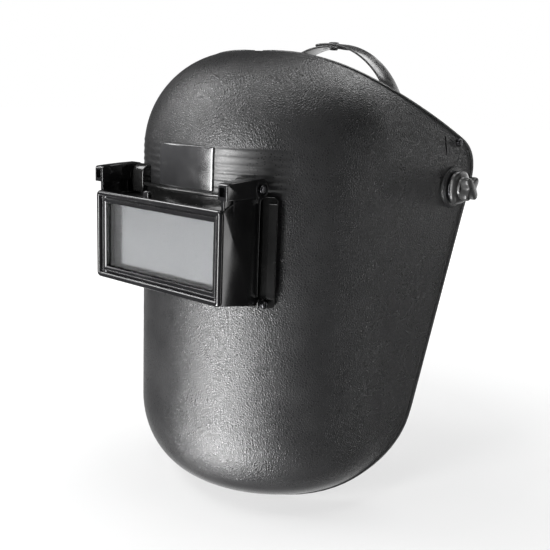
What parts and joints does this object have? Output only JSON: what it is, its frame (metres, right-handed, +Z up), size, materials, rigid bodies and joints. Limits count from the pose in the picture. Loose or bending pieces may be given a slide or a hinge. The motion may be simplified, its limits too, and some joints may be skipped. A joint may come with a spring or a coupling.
{
  "type": "welding helmet",
  "caption": "Full-face welding helmet: moulded face shell tilting on ear pivots, flip-up rectangular lens holder, adjustable headgear with crown strap and rear ratchet knob.",
  "frame": {"origin": "midway between the two ear pivots, on the pivot axis, where the wearer's head holds the headgear", "axes": "+Z up, the face looks towards -Y, the wearer's left is +X"},
  "size_m": [0.263, 0.3193, 0.3402],
  "materials": {
    "shell_black": "leather-grained satin black",
    "gloss_black": "polished black",
    "headgear_black": "satin black",
    "steel": "zinc plated",
    "insert_brass": "turned",
    "rubber": "matte",
    "pad_cloth": "woven cover over foam",
    "clear_plastic": "clear",
    "filter_glass": "metallised grey filter face"
  },
  "bodies": {
    "headgear": {"headband": "headgear_black", "sweatband": "pad_cloth", "crown_stud": "headgear_black", "side_arm_left": "headgear_black", "side_arm_right": "headgear_black", "arm_rivet_front_left": "steel", "arm_rivet_front_right": "steel", "arm_rivet_rear_left": "steel", "arm_rivet_rear_right": "steel", "crown_strap_left": "headgear_black", "crown_strap_right": "headgear_black", "crown_rivet_left": "steel", "crown_rivet_right": "steel", "rear_strap_left": "headgear_black", "rear_strap_right": "headgear_black", "ear_bolt_left": "steel", "ear_bolt_right": "steel", "pivot_washer_left": "rubber", "pivot_washer_right": "rubber", "knob_washer_left": "steel", "knob_washer_right": "steel", "tilt_stop_left": "gloss_black", "tilt_stop_right": "gloss_black"},
    "shell": {"shell": "shell_black", "forehead_panel": "gloss_black", "window_housing": "gloss_black", "inner_clamp_frame": "gloss_black", "fixed_clear_plate": "clear_plastic", "plate_retainer": "rubber", "housing_screw_1": "steel", "housing_screw_2": "steel", "housing_screw_3": "steel", "housing_screw_4": "steel", "hinge_pin_left": "steel", "hinge_pin_right": "steel", "latch_stud_left": "steel", "latch_stud_right": "steel", "stop_pin_left": "steel", "stop_pin_right": "steel"},
    "lens_flip": {"flip_holder": "gloss_black", "cover_lens": "clear_plastic", "lens_gasket": "rubber", "filter_lens": "filter_glass", "lens_clip": "steel"},
    "knob_left": {"tension_knob_left": "gloss_black", "knob_insert_left": "insert_brass"},
    "knob_right": {"tension_knob_right": "gloss_black", "knob_insert_right": "insert_brass"},
    "ratchet": {"ratchet_housing": "headgear_black", "ratchet_cover": "headgear_black", "nape_pad": "pad_cloth"},
    "ratchet_knob": {"ratchet_knob": "shell_black", "pinion": "headgear_black", "ratchet_spring": "steel"}
  },
  "joints": [
    {"name": "shell_tilt", "type": "hinge", "parent": "headgear", "child": "shell", "pos_m": [0, 0, 0], "axis": [-1, 0, 0], "range_deg": [0, 65]},
    {"name": "window_flip", "type": "hinge", "parent": "shell", "child": "lens_flip", "pos_m": [0, -0.162, 0.004], "axis": [-1, 0, 0], "range_deg": [0, 90]},
    {"name": "tension_left", "type": "hinge", "parent": "headgear", "child": "knob_left", "pos_m": [0.118, 0, 0], "axis": [1, 0, 0], "range_deg": [0, 360]},
    {"name": "tension_right", "type": "hinge", "parent": "headgear", "child": "knob_right", "pos_m": [-0.118, 0, 0], "axis": [-1, 0, 0], "range_deg": [0, 360]},
    {"name": "ratchet_travel", "type": "slide", "parent": "headgear", "child": "ratchet", "axis": [0, 1, 0], "range_m": [-0.018, 0.018], "deforming": ["rear_strap_left", "rear_strap_right"]},
    {"name": "ratchet_turn", "type": "hinge", "parent": "ratchet", "child": "ratchet_knob", "pos_m": [0, 0.103, 0.0205], "axis": [0, 1, 0], "range_deg": [-180, 180]}
  ],
  "couplings": [
    {"joint": "ratchet_turn", "follows": "ratchet_travel", "rad_per_m": 166.67}
  ]
}
